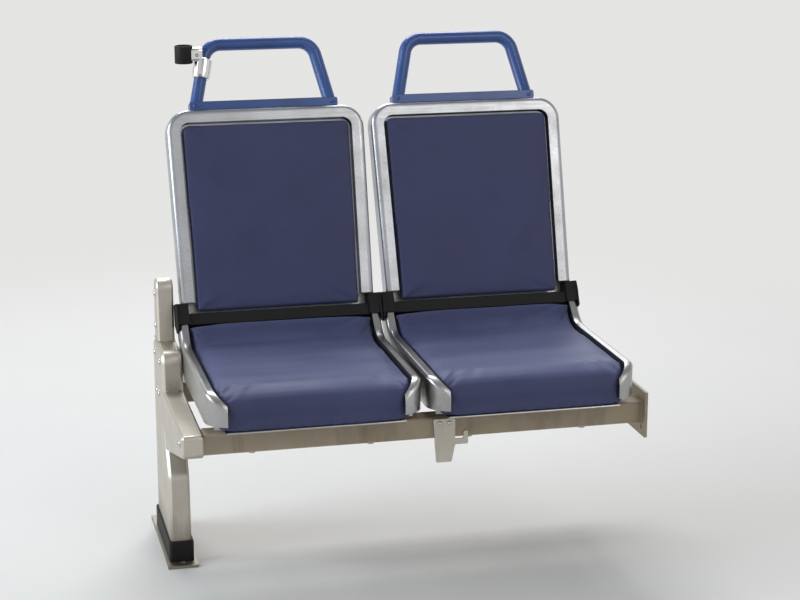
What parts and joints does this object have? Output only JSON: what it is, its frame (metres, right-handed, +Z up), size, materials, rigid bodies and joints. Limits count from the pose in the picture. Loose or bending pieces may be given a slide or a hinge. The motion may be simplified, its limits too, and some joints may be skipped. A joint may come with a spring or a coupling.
{
  "type": "double passenger seat of a city bus",
  "caption": "Fixed two-place bus seat with formed metal shells, padded inserts, grab handles, an aisle leg and a wall bracket.",
  "frame": {"origin": "middle of the aisle leg's two floor bolts, on the floor", "axes": "+X from the aisle to the wall, -Y the way the passengers face, +Z up"},
  "size_m": [0.964, 0.6373, 1.0575],
  "materials": {
    "stainless": "brushed",
    "upholstery": "woven, navy",
    "blue_handle": "powder coat, semi-gloss",
    "black_plastic": "satin",
    "frame_steel": "painted, dull",
    "leg_steel": "brushed",
    "clamp_chrome": "polished"
  },
  "bodies": {
    "root": {"aisle_back_insert": "upholstery", "aisle_back_rim": "stainless", "aisle_back_shell": "stainless", "aisle_back_supports": "frame_steel", "aisle_bight_trim": "black_plastic", "aisle_grab_handle": "blue_handle", "aisle_leg": "leg_steel", "aisle_pan_rails": "frame_steel", "aisle_seat_insert": "upholstery", "aisle_seat_pan": "stainless", "beam_hanger": "leg_steel", "front_beam": "frame_steel", "leg_arm": "leg_steel", "leg_boot": "black_plastic", "leg_foot": "leg_steel", "leg_upright": "leg_steel", "rear_beam": "frame_steel", "stanchion_clamp": "clamp_chrome", "stanchion_socket": "black_plastic", "wall_bracket": "frame_steel", "window_back_insert": "upholstery", "window_back_rim": "stainless", "window_back_shell": "stainless", "window_back_supports": "frame_steel", "window_bight_trim": "black_plastic", "window_grab_handle": "blue_handle", "window_pan_rails": "frame_steel", "window_seat_insert": "upholstery", "window_seat_pan": "stainless"}
  },
  "joints": []
}
